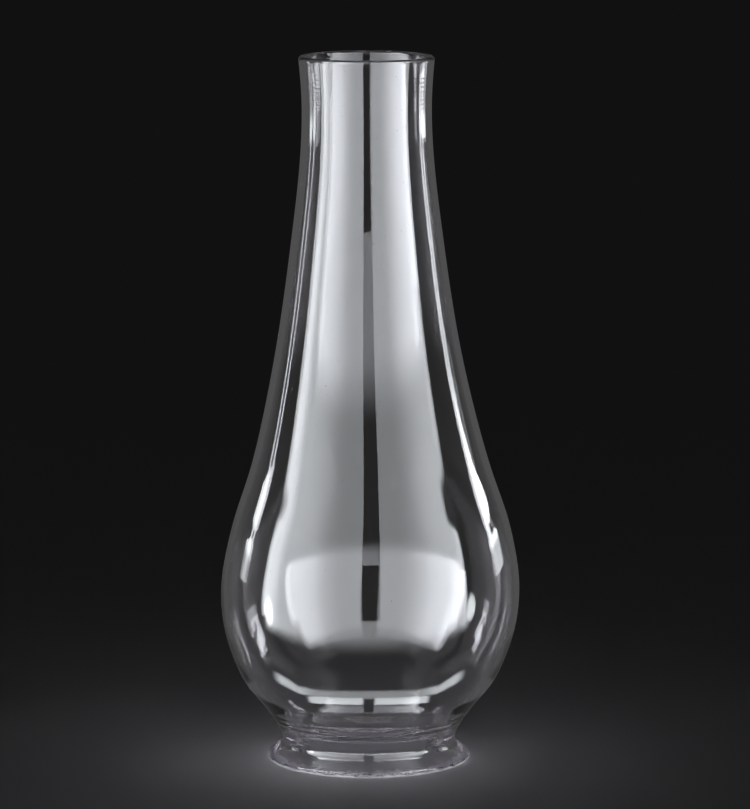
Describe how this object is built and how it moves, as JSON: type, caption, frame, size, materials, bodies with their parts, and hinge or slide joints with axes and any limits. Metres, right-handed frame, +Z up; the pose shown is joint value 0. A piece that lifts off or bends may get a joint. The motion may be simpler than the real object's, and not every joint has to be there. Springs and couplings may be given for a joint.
{
  "type": "lamp chimney",
  "caption": "Clear blown-glass oil lamp chimney: flared ground foot, short neck, wide bulb and a tall flue that narrows to a slightly flared, fire-polished rim.",
  "frame": {"origin": "centre of the ground foot, on the plane that the chimney stands on", "axes": "+Z up the chimney's axis, from the foot to the rim; X and Y are equal, because the part is round"},
  "size_m": [0.094, 0.094, 0.2215],
  "materials": {
    "glass": "clear blown glass, fire-polished rim and ground foot"
  },
  "bodies": {
    "root": {"chimney": "glass"}
  },
  "joints": []
}
